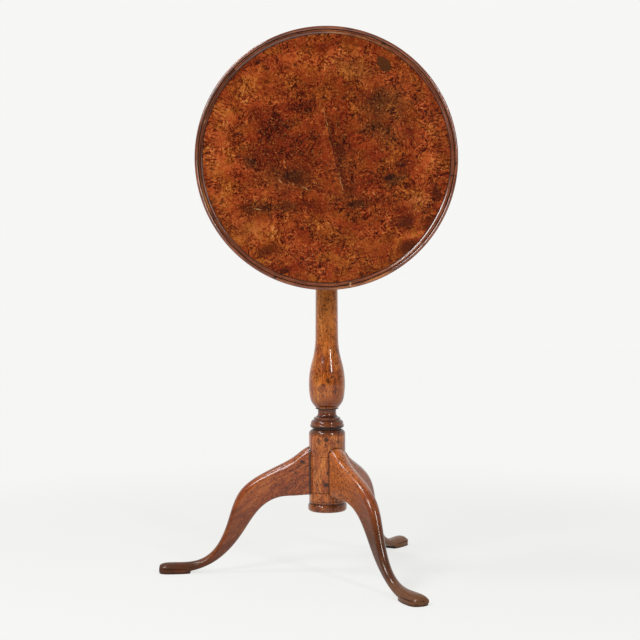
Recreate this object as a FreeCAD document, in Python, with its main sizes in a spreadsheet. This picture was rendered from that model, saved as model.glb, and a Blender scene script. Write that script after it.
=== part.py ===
import FreeCAD, Part
import Sketcher
import math
import os
from types import SimpleNamespace

# Tilt-top tripod table: a round dished top hinged on a block at the head of a turned column,
# held level by a spring catch, and carried by three cabriole legs tenoned into the column.
# Origin on the floor under the column, +Z up. The top stands tipped up and faces -Y.

# Driving dimensions in millimetres and degrees
sizes = {
    # round top: board, burr veneer and planted rim
    "top_diameter": 466,
    "board_thickness": 16,
    "veneer_thickness": 1.5,
    "rim_count": 5,
    "rim_turn": -8,
    "rim_width": 12.8,
    "rim_seat": 6,
    "rim_rise": 7,
    "rim_joint": 0.25,
    "rim_bead": 6,
    "rim_quirk": 1,
    "rim_step": 1.2,
    "rim_fillet": 1.7,
    "rim_cove": 1.1,
    "rim_toe": 0.6,
    # tilting head: block, pins and battens
    "pivot_height": 693.5,
    "pivot_offset": 62,
    "pivot_drop": 13,
    "swing_relief": 2,
    "block_width": 140,
    "block_back": 75,
    "block_bevel": 6,
    "pin_radius": 6.5,
    "pin_depth": 34,
    "pin_bevel": 1.5,
    "batten_width": 26,
    "batten_length": 380,
    "batten_taper": 42,
    "batten_tip": 9,
    "batten_ease": 3.4,
    "batten_screw_apart": 130,
    "batten_screw_radius": 2.5,
    "batten_screw_head": 5,
    "batten_screw_bite": 10,
    # spring catch under the top and its strike on the block
    "catch_gap": 6,
    "catch_plate_width": 40,
    "catch_plate_length": 54,
    "catch_plate_thickness": 3,
    "catch_wall": 1.5,
    "catch_case_inset": 4,
    "bolt_width": 12,
    "bolt_thickness": 6,
    "bolt_length": 40,
    "bolt_throw": 6,
    "bolt_travel": 8,
    "bolt_lip": 1.5,
    "knob_radius": 6,
    "knob_stem": 2,
    "knob_bite": 4.2,
    "knob_drop": 11,
    "knob_bevel": 2,
    "knob_neck": 4,
    "spring_thickness": 0.8,
    "spring_width": 5,
    "spring_room": 15,
    "catch_screw_radius": 1.6,
    "catch_screw_head": 3.2,
    "catch_screw_bite": 9,
    "catch_screw_inset": 5,
    "strike_width": 44,
    "strike_height": 16,
    "strike_thickness": 1.5,
    "strike_play": 0.5,
    "strike_screw_reach": 15,
    "strike_screw_bite": 14,
    # turned column, from its foot ring up to the tenon in the block
    "column_foot": 114.5,
    "ring_radius": 35.7,
    "ring_height": 14.5,
    "ring_round": 5.2,
    "ring_swell": 1.2,
    "column_radius": 33.7,
    "cylinder_height": 129,
    "scribe_depth": 0.7,
    "shoulder_height": 8,
    "shoulder_swell": 1.6,
    "groove_radius": 26.3,
    "groove_height": 2.5,
    "torus_radius": 30.2,
    "torus_height": 15,
    "torus_belly": 6.8,
    "torus_swell": 2,
    "step_radius": 24.6,
    "step_height": 4,
    "neck_radius": 17,
    "cove_height": 9,
    "cove_hollow": 2.5,
    "neck_height": 6,
    "flange_radius": 21.2,
    "flange_height": 4.5,
    "bulb_foot_radius": 21.6,
    "bulb_hip_radius": 31.6,
    "bulb_hip_rise": 18.5,
    "bulb_hip_swell": 1.9,
    "bulb_radius": 33.6,
    "bulb_rise": 23.5,
    "bulb_fall": 42,
    "bulb_turn_radius": 27.6,
    "throat_radius": 21,
    "throat_height": 48,
    "throat_hollow": 1.8,
    "shaft_top_radius": 19.2,
    "tenon_radius": 15,
    "tenon_shy": 0.3,
    "wedge_thickness": 3.2,
    "wedge_edge": 0.8,
    "wedge_width": 28,
    "wedge_depth": 17,
    # legs, tenoned between the two scribed lines of the column
    "leg_gap": 17,
    "leg_root_height": 90,
    "leg_root_width": 30,
    "leg_root_bury": 4,
    "leg_root_arch": 10.8,
    "leg_root_round": 2.5,
    "tenon_inset": 4.5,
    "tenon_height": 66.5,
    "tenon_thickness": 12,
    "tenon_length": 21,
    "foot_reach": 312,
    "pad_length": 58,
    "pad_height": 8,
    "pad_heel_width": 23,
    "pad_width": 36,
    "pad_nose_width": 27,
    "pad_nose_back": 4.5,
    "pad_swell": 1.8,
    # fits
    "fit_gap": 0.05,
    "slide_gap": 0.1,
    "side_gap": 0.4,
}

# Cabriole stations measured from the column axis: top edge out and up, lower edge out and up, width,
# rise of the rounded top and radius of the lower corners
legWords = ("top_out", "top_up", "low_out", "low_up", "wide", "arch", "round")
legStations = {
    "hip": (62, 214.6, 58, 144, 28.5, 10.6, 3),
    "thigh": (98, 195, 84, 142, 27, 10.5, 4),
    "knee": (158.6, 155, 124, 120, 24, 11, 7),
    "calf": (186, 91, 156, 75.5, 20.5, 9.8, 9),
    "shin": (203, 53.5, 177, 48, 18.5, 9, 8.6),
    "ankle": (221, 33.5, 203, 24.8, 18, 8.5, 6.8),
}
# Foot stations measured back from the tip of the toe: back, top edge up, lower edge up, width,
# rise of the rounded top and radius of the lower corners
footWords = ("back", "top_up", "low_up", "wide", "arch", "round")
footStations = {
    "instep": (54, 19.8, 4, 26, 8.4, 3),
    "ball": (21, 18.8, 4, 32, 8, 2),
    "toe": (1.2, 14.6, 4, 26, 5.5, 2),
}
for words, stations in ((legWords, legStations), (footWords, footStations)):
    for station, row in stations.items():
        for word, value in zip(words, row):
            sizes[station + "_" + word] = value

doc = FreeCAD.newDocument("tilt_top_table")
sheet = doc.addObject("Spreadsheet::Sheet", "dims")
for row, (alias, value) in enumerate(sizes.items(), 1):
    sheet.set("A%d" % row, alias)
    sheet.set("B%d" % row, str(value))
    sheet.setAlias("B%d" % row, alias)
doc.recompute()


class Size:
    """A number and the formula over the sheet's cells that gives it."""

    def __init__(self, value, formula):
        self.value = value
        self.formula = formula

    @staticmethod
    def of(item):
        return item if isinstance(item, Size) else Size(float(item), "(%s)" % item)

    def join(self, other, sign, value):
        return Size(value, "(%s %s %s)" % (self.formula, sign, other.formula))

    def __add__(self, other):
        other = Size.of(other)
        return self.join(other, "+", self.value + other.value)

    def __sub__(self, other):
        other = Size.of(other)
        return self.join(other, "-", self.value - other.value)

    def __mul__(self, other):
        other = Size.of(other)
        return self.join(other, "*", self.value * other.value)

    def __truediv__(self, other):
        other = Size.of(other)
        return self.join(other, "/", self.value / other.value)

    def __radd__(self, other):
        return Size.of(other) + self

    def __rsub__(self, other):
        return Size.of(other) - self

    def __rmul__(self, other):
        return Size.of(other) * self

    def __rtruediv__(self, other):
        return Size.of(other) / self

    def __neg__(self):
        return Size.of(0) - self


def smaller(one, two):
    return Size(min(one.value, two.value), "min(%s; %s)" % (one.formula, two.formula))


def span(across, along):
    return Size(math.hypot(across.value, along.value), "hypot(%s; %s)" % (across.formula, along.formula))


def lean(across, along):
    angle = math.degrees(math.atan2(across.value, along.value))
    return Size(angle, "atan2(%s; %s)" % (across.formula, along.formula))


d = SimpleNamespace(**{name: Size(float(value), "dims." + name) for name, value in sizes.items()})


# Placing and sketching

quarterTurn = 90
halfTurn = 180
fullTurn = 360


def bind(thing, path, size):
    thing.setExpression(path, Size.of(size).formula)


def standing(thing):
    thing.Placement = FreeCAD.Placement()


def onBlock(thing):
    bind(thing, "Placement.Base.z", d.pivot_height)


def onTop(thing):
    tip = FreeCAD.Rotation(FreeCAD.Vector(1, 0, 0), quarterTurn)
    thing.Placement = FreeCAD.Placement(FreeCAD.Vector(), tip)
    bind(thing, "Placement.Base.y", -(d.pivot_offset + d.pivot_drop))
    bind(thing, "Placement.Base.z", d.pivot_height + d.pivot_offset)


pieces = []


def newBody(label, place):
    body = doc.addObject("PartDesign::Body", label)
    body.Label = label
    place(body)
    pieces.append(body)
    return body


def newSketch(body, role, shift=(0, 0, 0), turn=None, axis=(1, 0, 0)):
    sketch = body.newObject("Sketcher::SketchObject", body.Label + "_sketch")
    plane = [feature for feature in body.Origin.OriginFeatures if feature.Role == role][0]
    sketch.AttachmentSupport = [(plane, "")]
    sketch.MapMode = "FlatFace"
    if turn is not None:
        turned = FreeCAD.Rotation(FreeCAD.Vector(*axis), turn.value)
        sketch.AttachmentOffset = FreeCAD.Placement(FreeCAD.Vector(), turned)
        bind(sketch, "AttachmentOffset.Rotation.Angle", turn)
    for letter, size in zip("xyz", shift):
        if isinstance(size, Size):
            bind(sketch, "AttachmentOffset.Base." + letter, size)
    return sketch


def hold(sketch, kind, first, size):
    index = sketch.addConstraint(Sketcher.Constraint(kind, *first, size.value))
    sketch.setExpression("Constraints[%d]" % index, size.formula)


def pinPoint(sketch, geometry, end, point):
    for kind, axis, size in zip(("DistanceX", "DistanceY"), (-2, -1), point):
        if isinstance(size, Size):
            hold(sketch, kind, (-1, 1, geometry, end), size)
        else:
            sketch.addConstraint(Sketcher.Constraint("PointOnObject", geometry, end, axis))


def numbers(point):
    return FreeCAD.Vector(*[Size.of(size).value for size in point], 0)


def outline(sketch, start, *steps):
    """A closed outline. A step is a point, or a point and the rise of the arc that leads to it:
    a positive rise bulges to the right of the way, a negative one to the left."""
    ends = []
    point = start
    for step in steps + (start,):
        goal = step[:2]
        a, b = numbers(point), numbers(goal)
        if len(step) == 2:
            geometry = sketch.addGeometry(Part.LineSegment(a, b))
            ends.append((geometry, 1, 2))
        else:
            rise = Size.of(step[2])
            across = Size.of(goal[0]) - Size.of(point[0])
            along = Size.of(goal[1]) - Size.of(point[1])
            bow = abs(rise.value)
            size = rise if rise.value > 0 else -rise
            radius = (across * across + along * along) / (8 * size) + size / 2
            way = (b - a).normalize()
            side = FreeCAD.Vector(-way.y, way.x, 0) * (1 if rise.value > 0 else -1)
            centre = (a + b) * 0.5 + side * (radius.value - bow)
            one, two = (a, b) if rise.value > 0 else (b, a)
            low = math.atan2(one.y - centre.y, one.x - centre.x)
            high = math.atan2(two.y - centre.y, two.x - centre.x)
            high += 2 * math.pi if high < low else 0
            circle = Part.Circle(centre, FreeCAD.Vector(0, 0, 1), radius.value)
            geometry = sketch.addGeometry(Part.ArcOfCircle(circle, low, high))
            ends.append((geometry, 1, 2) if rise.value > 0 else (geometry, 2, 1))
            hold(sketch, "Radius", (geometry,), radius)
        point = goal
    for (one, _, last), (two, first, _) in zip(ends, ends[1:] + ends[:1]):
        sketch.addConstraint(Sketcher.Constraint("Coincident", one, last, two, first))
    for (geometry, first, _), point in zip(ends, (start,) + tuple(step[:2] for step in steps)):
        pinPoint(sketch, geometry, first, point)


def rectangle(sketch, low, high):
    outline(sketch, low, (high[0], low[1]), high, (low[0], high[1]))


def circle(sketch, centre, radius):
    ring = Part.Circle(numbers(centre), FreeCAD.Vector(0, 0, 1), radius.value)
    geometry = sketch.addGeometry(ring)
    pinPoint(sketch, geometry, 3, centre)
    hold(sketch, "Radius", (geometry,), radius)


# Features

def addFeature(kind, body, sketch):
    feature = body.newObject("PartDesign::" + kind, body.Label + "_" + kind.lower())
    feature.Profile = sketch
    return feature


def pad(body, sketch, length, symmetric=False, reverse=False):
    feature = addFeature("Pad", body, sketch)
    feature.SideType = "Symmetric" if symmetric else "One side"
    feature.Reversed = reverse
    bind(feature, "Length", length)
    return feature


def pocket(body, sketch, length=None, reverse=False):
    feature = addFeature("Pocket", body, sketch)
    feature.Reversed = reverse
    if length is None:
        feature.SideType = "Symmetric"
        feature.Type = "ThroughAll"
    else:
        bind(feature, "Length", length)
    return feature


def turned(kind, body, sketch):
    feature = addFeature(kind, body, sketch)
    feature.ReferenceAxis = (sketch, ["V_Axis"])
    feature.Angle = fullTurn
    return feature


def repeat(body, features, sketch, axis, count, span):
    pattern = body.newObject("PartDesign::LinearPattern", body.Label + "_row")
    pattern.Originals = features
    pattern.Direction = (sketch, [axis])
    pattern.Occurrences = count
    bind(pattern, "Length", span)
    body.Tip = pattern
    return pattern


def screwOutline(sketch, radius, head, bury, bite, gap=0):
    """Half section of a countersunk screw: head face at zero, point up, all surfaces out by the gap."""
    sink = head - radius
    reach = bury + bite
    outline(sketch, (0, 0), (head + gap, 0), (radius + gap, sink), (radius + gap, reach - radius),
            (0, reach + gap))


# Rise of a quarter circle over its chord, for a radius of one, and of an arc just under a half circle
quarterRise = 1 - math.sqrt(0.5)
halfRise = 0.97

# Heights and places shared by several pieces
topRadius = d.top_diameter / 2
dish = d.board_thickness + d.veneer_thickness
blockFront = d.pivot_offset + d.pivot_drop
battenInner = d.block_width / 2 + d.side_gap
battenMiddle = battenInner + d.batten_width / 2
battenScrewCount = 3
battenDrop = 2 * d.pivot_drop
catchStart = d.block_back + d.catch_gap
boltTop = d.catch_plate_thickness + d.slide_gap
boltFoot = boltTop + d.bolt_thickness
caseFloor = boltFoot + d.slide_gap
boltNose = d.block_back - d.bolt_throw
boltTail = boltNose + d.bolt_length
caseFront = catchStart + d.catch_case_inset
caseBack = boltTail + d.spring_room
catchScrewX = d.catch_plate_width / 2 - d.catch_screw_inset
knobPlace = (caseFront + boltTail) / 2


# Top: board, veneer and rim

def topBoard():
    body = newBody("top_board", onTop)
    inner = topRadius - d.rim_width
    seat = d.board_thickness - d.rim_seat
    sketch = newSketch(body, "XZ_Plane")
    outline(sketch, (0, 0), (topRadius, 0), (topRadius, seat), (inner, seat),
            (inner, d.board_thickness), (0, d.board_thickness))
    turned("Revolution", body, sketch)
    screwHoles(body, -battenMiddle, -d.batten_screw_apart, d.batten_screw_radius, d.batten_screw_bite,
               2 * battenMiddle, 2 * d.batten_screw_apart, battenScrewCount)
    screwHoles(body, -catchScrewX, catchStart + d.catch_screw_inset, d.catch_screw_radius,
               d.catch_screw_bite, 2 * catchScrewX, d.catch_plate_length - 2 * d.catch_screw_inset, 2)


def screwHoles(body, x, y, radius, bite, acrossSpan, alongSpan, along):
    sketch = newSketch(body, "XY_Plane")
    circle(sketch, (x, y), radius + d.fit_gap)
    hole = pocket(body, sketch, bite + 2 * d.fit_gap, reverse=True)
    grid(body, hole, sketch, acrossSpan, alongSpan, along)


def grid(body, feature, sketch, acrossSpan, alongSpan, along, alongAxis="V_Axis"):
    pattern = repeat(body, [feature], sketch, "H_Axis", 2, acrossSpan)
    pattern.Direction2 = (sketch, [alongAxis])
    pattern.Occurrences2 = along
    bind(pattern, "Length2", alongSpan)


def topVeneer():
    body = newBody("top_veneer", onTop)
    sketch = newSketch(body, "XY_Plane", (0, 0, d.board_thickness))
    circle(sketch, (0, 0), topRadius - d.rim_width - d.fit_gap)
    pad(body, sketch, d.veneer_thickness)


def rimSegment(index):
    body = newBody("rim_segment_%d" % (index + 1), onTop)
    share = fullTurn / d.rim_count
    sketch = newSketch(body, "XZ_Plane", turn=d.rim_turn + (index + 0.5) * share, axis=(0, 1, 0))
    beadFoot = dish + d.rim_rise - d.rim_bead / 2
    inside = topRadius - d.rim_width
    quirk = topRadius - d.rim_bead
    fillet = quirk - d.rim_quirk
    crest = dish + d.rim_rise - d.rim_step
    coveTop = fillet - d.rim_fillet
    seat = d.board_thickness - d.rim_seat
    outline(sketch, (inside, seat), (topRadius, seat),
            (topRadius, beadFoot), (quirk, beadFoot, halfRise * d.rim_bead / 2), (fillet, beadFoot),
            (fillet, crest), (coveTop, crest), (inside, dish + d.rim_toe, -d.rim_cove))
    ring = turned("Revolution", body, sketch)
    ring.Midplane = True
    bind(ring, "Angle", share - math.degrees(1) * d.rim_joint / topRadius)


# Tilting head: block, wedge, pins and battens

def topBlock():
    body = newBody("top_block", onBlock)
    e = d.pivot_drop
    nose = e + d.swing_relief
    sketch = newSketch(body, "YZ_Plane")
    outline(sketch, (d.block_bevel - blockFront, -e), (d.block_back - d.block_bevel, -e),
            (d.block_back, d.block_bevel - e), (d.block_back, e), (nose - blockFront, e),
            (-blockFront, e - nose, quarterRise * nose), (-blockFront, d.block_bevel - e))
    pad(body, sketch, d.block_width, symmetric=True)
    bore = newSketch(body, "XY_Plane")
    circle(bore, (0, 0), d.tenon_radius + d.fit_gap)
    pocket(body, bore)
    for side in (-1, 1):
        hole = newSketch(body, "YZ_Plane", (0, 0, side * d.block_width / 2))
        circle(hole, (-d.pivot_offset, 0), d.pin_radius + d.fit_gap)
        pocket(body, hole, d.pin_depth + d.fit_gap, reverse=side < 0)
    let = newSketch(body, "XZ_Plane", (0, 0, -d.block_back))
    strikeOutline(let, d.fit_gap)
    pocket(body, let, d.strike_thickness, reverse=True)
    mortise = newSketch(body, "XZ_Plane", (0, 0, d.strike_thickness - d.block_back))
    boltWindow(mortise)
    pocket(body, mortise, d.bolt_throw, reverse=True)
    for side in (-1, 1):
        pilot = newSketch(body, "XZ_Plane", (0, 0, -d.block_back))
        circle(pilot, (side * d.strike_screw_reach, strikeMiddle()), d.catch_screw_radius + d.fit_gap)
        pocket(body, pilot, d.strike_screw_bite + d.strike_thickness, reverse=True)


def strikeMiddle():
    return d.pivot_drop - (boltTop + boltFoot) / 2


def strikeOutline(sketch, gap=0):
    reach = d.strike_width / 2 + gap
    rise = d.strike_height / 2 + gap
    top = smaller(strikeMiddle() + rise, d.pivot_drop)
    rectangle(sketch, (-reach, strikeMiddle() - rise), (reach, top))


def boltWindow(sketch):
    reach = d.bolt_width / 2 + d.strike_play
    rise = d.bolt_thickness / 2 + d.strike_play
    rectangle(sketch, (-reach, strikeMiddle() - rise), (reach, strikeMiddle() + rise))


def tenonWedge():
    body = newBody("tenon_wedge", onBlock)
    sketch = newSketch(body, "XZ_Plane")
    wedgeOutline(sketch)
    pad(body, sketch, d.wedge_width, symmetric=True)


def wedgeOutline(sketch):
    top = d.pivot_drop - d.tenon_shy
    low = top - d.wedge_depth
    half = d.wedge_thickness / 2
    edge = d.wedge_edge / 2
    outline(sketch, (-edge, low), (edge, low), (half, top), (-half, top))


def pivotPin(label, side):
    body = newBody(label, onBlock)
    turn = -quarterTurn * Size.of(side)
    sketch = newSketch(body, "XZ_Plane", (0, 0, d.pivot_offset), turn=turn, axis=(0, 0, 1))
    start = d.block_width / 2 - d.pin_depth
    end = battenInner + d.batten_width
    outline(sketch, (0, start), (d.pin_radius, start), (d.pin_radius, end),
            (d.pin_radius - d.pin_bevel, end + d.pin_bevel), (0, end + d.pin_bevel))
    turned("Revolution", body, sketch)


def batten(label, side):
    body = newBody(label, onTop)
    half = d.batten_length / 2
    sketch = newSketch(body, "YZ_Plane", (0, 0, side * battenMiddle))
    shoulder = half - d.batten_taper
    outline(sketch, (-half, 0), (-half, -d.batten_tip), (-shoulder, -battenDrop, d.batten_ease),
            (shoulder, -battenDrop), (half, -d.batten_tip, d.batten_ease), (half, 0))
    pad(body, sketch, d.batten_width, symmetric=True)
    bore = newSketch(body, "YZ_Plane", (0, 0, side * battenMiddle))
    circle(bore, (-d.pivot_offset, -d.pivot_drop), d.pin_radius + d.fit_gap)
    pocket(body, bore)
    sink = newSketch(body, "XZ_Plane", (side * battenMiddle, -battenDrop, d.batten_screw_apart))
    screwOutline(sink, d.batten_screw_radius, d.batten_screw_head, battenDrop, d.batten_screw_bite,
                 d.fit_gap)
    hole = turned("Groove", body, sink)
    row = repeat(body, [hole], sink, "N_Axis", battenScrewCount, 2 * d.batten_screw_apart)
    row.Reversed = True


def battenScrews():
    body = newBody("batten_screws", onTop)
    sketch = newSketch(body, "XZ_Plane", (-battenMiddle, -battenDrop, d.batten_screw_apart))
    screwOutline(sketch, d.batten_screw_radius, d.batten_screw_head, battenDrop, d.batten_screw_bite)
    screw = turned("Revolution", body, sketch)
    grid(body, screw, sketch, 2 * battenMiddle, 2 * d.batten_screw_apart, battenScrewCount, "N_Axis")
    body.Tip.Reversed2 = True


# Spring catch

def catchPlate():
    body = newBody("catch_plate", onTop)
    half = d.catch_plate_width / 2
    sketch = newSketch(body, "XY_Plane", (0, 0, -d.catch_plate_thickness))
    rectangle(sketch, (-half, catchStart), (half, catchStart + d.catch_plate_length))
    pad(body, sketch, d.catch_plate_thickness)
    first = catchStart + d.catch_screw_inset
    sink = newSketch(body, "XZ_Plane", (-catchScrewX, -d.catch_plate_thickness, -first))
    screwOutline(sink, d.catch_screw_radius, d.catch_screw_head, d.catch_plate_thickness,
                 d.catch_screw_bite, d.fit_gap)
    hole = turned("Groove", body, sink)
    grid(body, hole, sink, 2 * catchScrewX, d.catch_plate_length - 2 * d.catch_screw_inset, 2, "N_Axis")
    body.Tip.Reversed2 = True


def catchScrews():
    body = newBody("catch_screws", onTop)
    first = catchStart + d.catch_screw_inset
    sketch = newSketch(body, "XZ_Plane", (-catchScrewX, -d.catch_plate_thickness, -first))
    screwOutline(sketch, d.catch_screw_radius, d.catch_screw_head, d.catch_plate_thickness,
                 d.catch_screw_bite)
    screw = turned("Revolution", body, sketch)
    grid(body, screw, sketch, 2 * catchScrewX, d.catch_plate_length - 2 * d.catch_screw_inset, 2, "N_Axis")
    body.Tip.Reversed2 = True


def catchCase():
    body = newBody("catch_case", onTop)
    channel = d.bolt_width / 2 + d.slide_gap
    outer = channel + d.catch_wall
    sketch = newSketch(body, "XY_Plane", (0, 0, -d.catch_plate_thickness))
    rectangle(sketch, (-outer, caseFront), (outer, caseBack + d.catch_wall))
    pad(body, sketch, caseFloor - d.catch_plate_thickness + d.catch_wall, reverse=True)
    inside = newSketch(body, "XY_Plane", (0, 0, -d.catch_plate_thickness))
    rectangle(inside, (-channel, caseFront - d.catch_wall), (channel, caseBack))
    pocket(body, inside, caseFloor - d.catch_plate_thickness)
    slot = newSketch(body, "XY_Plane", (0, 0, -caseFloor))
    play = d.knob_stem + d.slide_gap
    end = knobPlace + d.bolt_travel
    outline(slot, (-play, knobPlace), (play, knobPlace, halfRise * play), (play, end),
            (-play, end, halfRise * play))
    pocket(body, slot, 2 * d.catch_wall)


def catchBolt():
    body = newBody("catch_bolt", onTop)
    sketch = newSketch(body, "YZ_Plane")
    outline(sketch, (boltNose, -boltTop), (boltNose, -boltTop - d.bolt_lip),
            (boltNose + d.bolt_throw, -boltFoot), (boltTail, -boltFoot), (boltTail, -boltTop))
    pad(body, sketch, d.bolt_width, symmetric=True)
    socket = newSketch(body, "XY_Plane", (0, 0, -boltFoot))
    circle(socket, (0, knobPlace), d.knob_stem + d.fit_gap)
    pocket(body, socket, d.knob_bite + d.fit_gap, reverse=True)


def catchKnob():
    body = newBody("catch_knob", onTop)
    sketch = newSketch(body, "XZ_Plane", (0, 0, -knobPlace))
    tip = d.knob_bite - boltFoot
    neck = -caseFloor - 2 * d.catch_wall
    end = neck - d.knob_drop
    outline(sketch, (0, tip), (0, end), (d.knob_radius - d.knob_bevel, end),
            (d.knob_radius, end + d.knob_bevel), (d.knob_radius, neck - d.knob_neck - d.knob_bevel),
            (d.knob_stem, neck - d.knob_bevel), (d.knob_stem, tip))
    turned("Revolution", body, sketch)


def catchSpring():
    body = newBody("catch_spring", onTop)
    middle = (boltTop + boltFoot) / 2
    sketch = newSketch(body, "XY_Plane", (0, 0, -middle))
    wall = d.spring_thickness
    near = boltTail + d.slide_gap
    far = caseBack - d.slide_gap
    bend = (near + far) / 2
    reach = d.bolt_width / 2 - d.slide_gap
    eye = wall - reach
    outline(sketch, (reach, near), (reach, near + wall), (eye + wall, bend), (reach, far - wall),
            (reach, far), (eye, bend + wall), (eye, bend - wall, halfRise * wall))
    pad(body, sketch, d.spring_width, symmetric=True)


def strikePlate():
    body = newBody("strike_plate", onBlock)
    sketch = newSketch(body, "XZ_Plane", (0, 0, -d.block_back))
    strikeOutline(sketch)
    pad(body, sketch, d.strike_thickness)
    window = newSketch(body, "XZ_Plane", (0, 0, -d.block_back))
    boltWindow(window)
    pocket(body, window)
    for side in (-1, 1):
        sink = newSketch(body, "XY_Plane", (side * d.strike_screw_reach, d.block_back, strikeMiddle()),
                         turn=Size.of(halfTurn), axis=(0, 0, 1))
        screwOutline(sink, d.catch_screw_radius, d.catch_screw_head, d.strike_thickness,
                     d.strike_screw_bite, d.fit_gap)
        turned("Groove", body, sink)


def strikeScrews():
    body = newBody("strike_screws", onBlock)
    for side in (-1, 1):
        sketch = newSketch(body, "XY_Plane", (side * d.strike_screw_reach, d.block_back, strikeMiddle()),
                           turn=Size.of(halfTurn), axis=(0, 0, 1))
        screwOutline(sketch, d.catch_screw_radius, d.catch_screw_head, d.strike_thickness,
                     d.strike_screw_bite)
        turned("Revolution", body, sketch)


# Turned column with a mortise for each leg

legCount = 3


def column():
    body = newBody("column", standing)
    sketch = newSketch(body, "XZ_Plane")
    r = d.column_radius
    foot = d.column_foot
    ring = foot + d.ring_height
    shoulder = ring + d.cylinder_height
    groove = shoulder + d.shoulder_height
    torus = groove + d.groove_height
    step = torus + d.torus_height
    cove = step + d.step_height
    neck = cove + d.cove_height
    flange = neck + d.neck_height
    bulb = flange + d.flange_height
    hip = bulb + d.bulb_hip_rise
    belly = hip + d.bulb_rise
    turn = belly + d.bulb_fall
    swell = uprightRise(d.bulb_radius - d.bulb_hip_radius, d.bulb_rise)
    ebb = uprightRise(d.bulb_radius - d.bulb_turn_radius, d.bulb_fall)
    throat = turn + d.throat_height
    head = d.pivot_height - d.pivot_drop
    top = d.pivot_height + d.pivot_drop - d.tenon_shy
    notch = d.scribe_depth
    low = tenonFoot()
    high = low + d.tenon_height
    scribes = []
    for line in (low, high, shoulder - 3 * notch):
        scribes += [(r, line - notch), (r - notch, line), (r, line + notch)]
    ease = d.ring_round
    outline(sketch, (0, foot), (d.ring_radius - ease, foot),
            (d.ring_radius, foot + ease, quarterRise * ease), (d.ring_radius, ring - ease),
            (r - notch, ring - notch, d.ring_swell), (r - notch, ring), (r, ring + notch), *scribes,
            (r, shoulder), (d.groove_radius + notch, groove, d.shoulder_swell),
            (d.groove_radius, groove), (d.groove_radius, torus), (d.torus_radius - 2 * notch, torus),
            (d.torus_radius, torus + d.torus_belly, d.torus_swell), (d.step_radius, step, d.torus_swell),
            (d.step_radius, cove), (d.neck_radius, neck, -d.cove_hollow), (d.neck_radius, flange),
            (d.flange_radius, flange + notch), (d.flange_radius, bulb), (d.bulb_foot_radius, bulb),
            (d.bulb_hip_radius, hip, d.bulb_hip_swell), (d.bulb_radius, belly, swell),
            (d.bulb_turn_radius, turn, ebb),
            (d.throat_radius, throat, -d.throat_hollow), (d.shaft_top_radius, head),
            (d.tenon_radius, head), (d.tenon_radius, top), (0, top))
    turned("Revolution", body, sketch)
    slit = newSketch(body, "XZ_Plane", (0, d.pivot_height, 0))
    wedgeOutline(slit)
    pocket(body, slit)
    mortise = newSketch(body, "YZ_Plane", (0, 0, d.tenon_length + d.fit_gap - d.column_radius))
    half = d.tenon_thickness / 2 + d.fit_gap
    rectangle(mortise, (-half, low - d.fit_gap), (half, high + d.fit_gap))
    cut = pocket(body, mortise, d.column_radius)
    ringOf = body.newObject("PartDesign::PolarPattern", "column_mortises")
    ringOf.Originals = [cut]
    ringOf.Axis = (sketch, ["V_Axis"])
    ringOf.Angle = fullTurn
    ringOf.Occurrences = legCount
    body.Tip = ringOf


def uprightRise(across, along):
    """Rise of an arc over its chord, for an arc that is upright at its wider end."""
    chord = span(across, along)
    return chord * across / (2 * (chord + along))


def tenonFoot():
    return legFoot() + d.tenon_inset


def legFoot():
    return d.column_foot + d.ring_height + d.leg_gap


# Cabriole legs

def leg(label, azimuth):
    body = newBody(label, standing)
    body.Placement.Rotation = FreeCAD.Rotation(FreeCAD.Vector(0, 0, 1), azimuth)
    root = d.column_radius - d.leg_root_bury
    rows = [(root, legFoot() + d.leg_root_height, root, legFoot(), d.leg_root_width,
             d.leg_root_arch, d.leg_root_round)]
    for station in legStations:
        rows.append([getattr(d, station + "_" + word) for word in legWords])
    for station in footStations:
        back, top, low, *rest = [getattr(d, station + "_" + word) for word in footWords]
        rows.append((d.foot_reach - back, top, d.foot_reach - back, low, *rest))
    sections = [legSection(body, *row) for row in rows]
    loft = addFeature("AdditiveLoft", body, sections[0])
    loft.Sections = sections[1:]
    waist = newSketch(body, "XY_Plane")
    circle(waist, (0, 0), d.column_radius + d.fit_gap)
    pocket(body, waist)
    sole = newSketch(body, "XY_Plane")
    heel = d.foot_reach - d.pad_length
    ball = d.foot_reach - d.ball_back
    nose = d.foot_reach - d.pad_nose_back
    outline(sole, (heel, -d.pad_heel_width / 2), (ball, -d.pad_width / 2, d.pad_swell),
            (nose, -d.pad_nose_width / 2, d.pad_swell), (nose, d.pad_nose_width / 2, d.pad_nose_back),
            (ball, d.pad_width / 2, d.pad_swell), (heel, d.pad_heel_width / 2, d.pad_swell))
    pad(body, sole, d.pad_height)
    tongue = newSketch(body, "XZ_Plane")
    rectangle(tongue, (d.column_radius - d.tenon_length, tenonFoot()),
              (d.column_radius + d.leg_root_bury, tenonFoot() + d.tenon_height))
    pad(body, tongue, d.tenon_thickness, symmetric=True)


def legSection(body, topOut, topUp, lowOut, lowUp, wide, arch, corner):
    across = topOut - lowOut
    rise = topUp - lowUp
    tilt = lean(across, rise)
    depth = span(across, rise)
    sketch = newSketch(body, "YZ_Plane", (0, lowUp, lowOut), turn=tilt)
    half = wide / 2
    inner = half - corner
    bow = quarterRise * corner
    outline(sketch, (half, depth - arch), (-half, depth - arch, arch), (-half, corner),
            (-inner, 0, bow), (inner, 0), (half, corner, bow))
    return sketch


topBoard()
topVeneer()
for index in range(sizes["rim_count"]):
    rimSegment(index)
topBlock()
tenonWedge()
pivotPin("pivot_pin_left", -1)
pivotPin("pivot_pin_right", 1)
batten("batten_left", -1)
batten("batten_right", 1)
battenScrews()
catchPlate()
catchCase()
catchScrews()
catchBolt()
catchKnob()
catchSpring()
strikePlate()
strikeScrews()
column()
leg("leg_left", halfTurn)
leg("leg_front", halfTurn + fullTurn / legCount)
leg("leg_back", halfTurn - fullTurn / legCount)
doc.recompute()

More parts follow.
